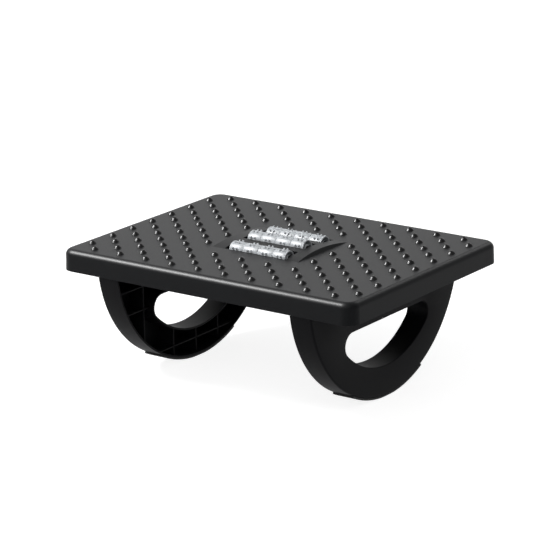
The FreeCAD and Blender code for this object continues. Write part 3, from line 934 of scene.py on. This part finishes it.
peg_tree, given = new_tree("pegs_round_a_ring", {
    "Geometry": "Geometry", "Rows": "Int", "Radius": "Float", "Pair gap": "Float", "Middle": "Vector",
    "Turn": "Float", "Peg": "Object", "Finish": "Material"
})
circle = add_node(peg_tree, "GeometryNodeMeshCircle", {
    "Vertices": given["Rows"], "Radius": given["Radius"]
})
spot = add_node(peg_tree, "GeometryNodeInputPosition").outputs[0]
upright = add_node(peg_tree, "FunctionNodeAlignEulerToVector", {"Vector": spot}, axis="Z")
shape = add_node(peg_tree, "GeometryNodeObjectInfo", {"Object": given["Peg"]})
row = add_node(peg_tree, "GeometryNodeInstanceOnPoints", {
    "Points": circle.outputs[0], "Instance": shape.outputs["Geometry"], "Rotation": upright.outputs[0]
})
pair = []
for share in (-0.5, 0.5):
    off = add_node(peg_tree, "ShaderNodeMath", {0: given["Pair gap"], 1: share}, operation="MULTIPLY")
    shift = add_node(peg_tree, "ShaderNodeCombineXYZ", {"Z": off.outputs[0]})
    pair.append(add_node(peg_tree, "GeometryNodeTransform", {
        "Geometry": row.outputs[0], "Translation": shift.outputs[0]
    }))
pegs = add_node(peg_tree, "GeometryNodeJoinGeometry", {0: pair[0].outputs[0]})
peg_tree.links.new(pair[1].outputs[0], pegs.inputs[0])
spin = add_node(peg_tree, "ShaderNodeCombineXYZ", {"Z": given["Turn"]})
spun = add_node(peg_tree, "GeometryNodeTransform", {
    "Geometry": pegs.outputs[0], "Rotation": spin.outputs[0]
})
laid = add_node(peg_tree, "GeometryNodeTransform", {
    "Geometry": spun.outputs[0], "Translation": given["Middle"], "Rotation": (0.0, math.pi / 2, 0.0)
})
joined = add_node(peg_tree, "GeometryNodeJoinGeometry", {0: laid.outputs[0]})
peg_tree.links.new(given["Geometry"], joined.inputs[0])
end_tree(peg_tree, joined.outputs[0], given["Finish"])

# %% Rollers
for name, (y, z, turn) in roller_places.items():
    for index in range(rings_per_roller):
        node = f"roller_ring_{name}_{index + 1}"
        middle = (index - rings_per_roller / 2 + 0.5) * ring_pitch
        mesh = grow(node + "_grown", peg_tree, {
            "Rows": peg_rows, "Radius": ring_radius * MM, "Pair gap": pair_gap * MM,
            "Middle": Vector((middle, y, z)) * MM, "Turn": math.radians(turn), "Peg": peg,
            "Finish": roller_plastic
        }, ring_mesh(node, index, y, z))
        piece(node + "_turned", mesh, roller_plastic, "roller_" + name, [node])
drop(peg)

# %% [markdown]
# ## Axles and straps
# These two are plain in the real product as well, and their construction meshes have the right shape.
# Such a mesh is loose triangles, so a copy is merged first, and then its edges can be softened.

# %% Axles and straps
def merged_copy(node, smooth_angle=30.0):
    """A construction node's mesh as a joined-up copy."""
    bm = bmesh.new()
    bm.from_mesh(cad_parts[node].data)
    bmesh.ops.remove_doubles(bm, verts=bm.verts, dist=0.002 * MM)
    bmesh.ops.dissolve_limit(bm, angle_limit=math.radians(0.5), verts=bm.verts, edges=bm.edges)
    mesh = bpy.data.meshes.new(node + "_copy")
    bm.to_mesh(mesh)
    bm.free()
    mesh.shade_smooth()
    mesh.set_sharp_from_angle(angle=math.radians(smooth_angle))
    return mesh


for name in roller_places:
    node = "axle_" + name
    piece(node + "_bar", merged_copy(node), axle_steel, "roller_" + name, [node])
for name in sides:
    node = "axle_strap_" + name
    strap = piece(node + "_moulded", merged_copy(node), strap_plastic, "root", [node])
    soften(strap, 0.35, 2)

# %% [markdown]
# ## Screws
# Eight pan head screws in two sizes. A head is a low dome with a cross recess, and a tree copies each
# size to its four places. The recess is cut once, in the template, by a Boolean.

# %% Screws
head_ratio, head_depth, head_edge = 2.1, 2.4, 0.15
cross_ratio, cross_half, cross_tip = 1.1, 0.35, 0.4
screw_steps = 28


def screw_template(name, radius, length):
    """A screw that points up from under its head, which hangs below the origin."""
    head, depth = radius * head_ratio, head_depth
    dome = [(0.0, -depth), (head * 0.55, -depth * 0.97), (head * 0.82, -depth * 0.82)]
    dome += [(head, -depth * 0.45)]
    neck = [(head, -head_edge), (head - head_edge, 0.0), (radius, 0.0)]
    tip = [(radius, length - radius), (radius * 0.3, length), (0.0, length)]
    bm = bmesh.new()
    skin(bm, lathe(dome + neck + tip, screw_steps))
    body = template(name, to_mesh(name, bm))
    bm = bmesh.new()
    for wide, narrow in ((radius * cross_ratio, cross_half), (cross_half, radius * cross_ratio)):
        low = [(a * wide, b * narrow, -depth - 1.0) for a, b in square]
        high = [(a * cross_tip, b * cross_tip, -depth * 0.35) for a, b in square]
        rows = skin(bm, [low, high])
        bm.faces.new(rows[0])
        bm.faces.new(rows[1])
    driver = template(name + "_driver", to_mesh("driver", bm))
    cut = body.modifiers.new("cross", "BOOLEAN")
    cut.object = driver
    cut.use_self = True
    bpy.context.view_layer.update()
    mesh = bpy.data.meshes.new_from_object(body.evaluated_get(bpy.context.evaluated_depsgraph_get()))
    body.modifiers.remove(cut)
    body.data = mesh
    drop(driver)
    return body


screw_tree, given = new_tree("screws_on_points", {
    "Geometry": "Geometry", "Screw": "Object", "Finish": "Material"
})
shape = add_node(screw_tree, "GeometryNodeObjectInfo", {"Object": given["Screw"]})
set_in = add_node(screw_tree, "GeometryNodeInstanceOnPoints", {
    "Points": given["Geometry"], "Instance": shape.outputs["Geometry"]
})
end_tree(screw_tree, set_in.outputs[0], given["Finish"])

strap_thickness = 3.5
for node, places, head_z, radius, length in (
    ("rocker_screws", rocker_screw_places, screw_seat, 1.65, 18.0),
    ("strap_screws", strap_screw_places, strap_top - strap_thickness, 1.25, 11.0)
):
    one = screw_template(node + "_template", radius, length)
    spots = bpy.data.meshes.new(node + "_spots")
    spots.from_pydata([Vector((x, y, head_z)) * MM for x, y in places], [], [])
    mesh = grow(node + "_grown", screw_tree, {"Screw": one, "Finish": zinc_steel}, spots)
    piece(node + "_turned", mesh, zinc_steel, "root", [node])
    drop(one)
drop(slab)
